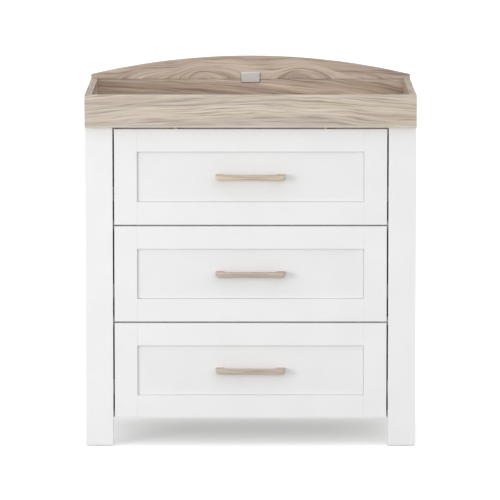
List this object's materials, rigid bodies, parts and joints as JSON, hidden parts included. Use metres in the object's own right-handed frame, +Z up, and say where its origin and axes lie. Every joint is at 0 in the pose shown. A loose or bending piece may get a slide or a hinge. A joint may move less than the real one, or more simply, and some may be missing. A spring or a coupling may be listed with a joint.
{
  "type": "changing table",
  "caption": "White nursery chest of framed drawers on square legs, with wooden bridge handles and a raised wood-effect changing tray with an arched back board.",
  "frame": {"origin": "on the floor, in the middle of the footprint, handles included", "axes": "+X right seen from the front, +Y to the back, +Z up; the drawers open towards -Y"},
  "size_m": [0.86, 0.526, 0.983],
  "materials": {
    "white_lacquer": "sprayed satin white lacquer on MDF",
    "white_melamine": "white melamine on chipboard",
    "white_hardboard": "white foil on hardboard",
    "oak_laminate": "greyed oak-effect foil on board, matt",
    "oak_handle": "greyed oak, matt",
    "pine": "planed, unfinished",
    "beech": "fluted dowel, unfinished",
    "zinc_steel": "bright zinc plated",
    "brushed_zinc": "brushed, bare",
    "nylon": "moulded white nylon"
  },
  "bodies": {
    "carcass": {"left_front_leg": "white_lacquer", "right_front_leg": "white_lacquer", "left_rear_leg": "white_lacquer", "right_rear_leg": "white_lacquer", "left_side_panel": "white_lacquer", "right_side_panel": "white_lacquer", "base_board": "white_melamine", "back_panel": "white_hardboard", "rear_rail": "white_lacquer", "cross_rails": "white_lacquer", "runner_bearers": "pine", "runner_channels": "zinc_steel", "foot_glides": "nylon", "top_board": "oak_laminate", "tray_front_rail": "oak_laminate", "tray_left_rail": "oak_laminate", "tray_right_rail": "oak_laminate", "tray_back_board": "oak_laminate", "name_plate": "brushed_zinc", "dowels": "beech", "carcass_screws": "zinc_steel"},
    "bottom_drawer": {"bottom_drawer_left_stile": "white_lacquer", "bottom_drawer_right_stile": "white_lacquer", "bottom_drawer_top_rail": "white_lacquer", "bottom_drawer_bottom_rail": "white_lacquer", "bottom_drawer_panel": "white_lacquer", "bottom_drawer_handle": "oak_handle", "bottom_drawer_left_side": "white_melamine", "bottom_drawer_right_side": "white_melamine", "bottom_drawer_back": "white_melamine", "bottom_drawer_floor": "white_hardboard", "bottom_drawer_fixings": "zinc_steel", "bottom_drawer_runner_rails": "zinc_steel"},
    "bottom_ball_cages": {"bottom_drawer_ball_cages": "zinc_steel"},
    "middle_drawer": {"middle_drawer_left_stile": "white_lacquer", "middle_drawer_right_stile": "white_lacquer", "middle_drawer_top_rail": "white_lacquer", "middle_drawer_bottom_rail": "white_lacquer", "middle_drawer_panel": "white_lacquer", "middle_drawer_handle": "oak_handle", "middle_drawer_left_side": "white_melamine", "middle_drawer_right_side": "white_melamine", "middle_drawer_back": "white_melamine", "middle_drawer_floor": "white_hardboard", "middle_drawer_fixings": "zinc_steel", "middle_drawer_runner_rails": "zinc_steel"},
    "middle_ball_cages": {"middle_drawer_ball_cages": "zinc_steel"},
    "top_drawer": {"top_drawer_left_stile": "white_lacquer", "top_drawer_right_stile": "white_lacquer", "top_drawer_top_rail": "white_lacquer", "top_drawer_bottom_rail": "white_lacquer", "top_drawer_panel": "white_lacquer", "top_drawer_handle": "oak_handle", "top_drawer_left_side": "white_melamine", "top_drawer_right_side": "white_melamine", "top_drawer_back": "white_melamine", "top_drawer_floor": "white_hardboard", "top_drawer_fixings": "zinc_steel", "top_drawer_runner_rails": "zinc_steel"},
    "top_ball_cages": {"top_drawer_ball_cages": "zinc_steel"}
  },
  "joints": [
    {"name": "bottom_drawer_slide", "type": "slide", "parent": "carcass", "child": "bottom_drawer", "axis": [0, -1, 0], "range_m": [0, 0.298]},
    {"name": "bottom_cage_slide", "type": "slide", "parent": "carcass", "child": "bottom_ball_cages", "axis": [0, -1, 0], "range_m": [0, 0.149]},
    {"name": "middle_drawer_slide", "type": "slide", "parent": "carcass", "child": "middle_drawer", "axis": [0, -1, 0], "range_m": [0, 0.298]},
    {"name": "middle_cage_slide", "type": "slide", "parent": "carcass", "child": "middle_ball_cages", "axis": [0, -1, 0], "range_m": [0, 0.149]},
    {"name": "top_drawer_slide", "type": "slide", "parent": "carcass", "child": "top_drawer", "axis": [0, -1, 0], "range_m": [0, 0.298]},
    {"name": "top_cage_slide", "type": "slide", "parent": "carcass", "child": "top_ball_cages", "axis": [0, -1, 0], "range_m": [0, 0.149]}
  ],
  "couplings": [
    {"joint": "bottom_cage_slide", "follows": "bottom_drawer_slide", "ratio": 0.5},
    {"joint": "middle_cage_slide", "follows": "middle_drawer_slide", "ratio": 0.5},
    {"joint": "top_cage_slide", "follows": "top_drawer_slide", "ratio": 0.5}
  ]
}
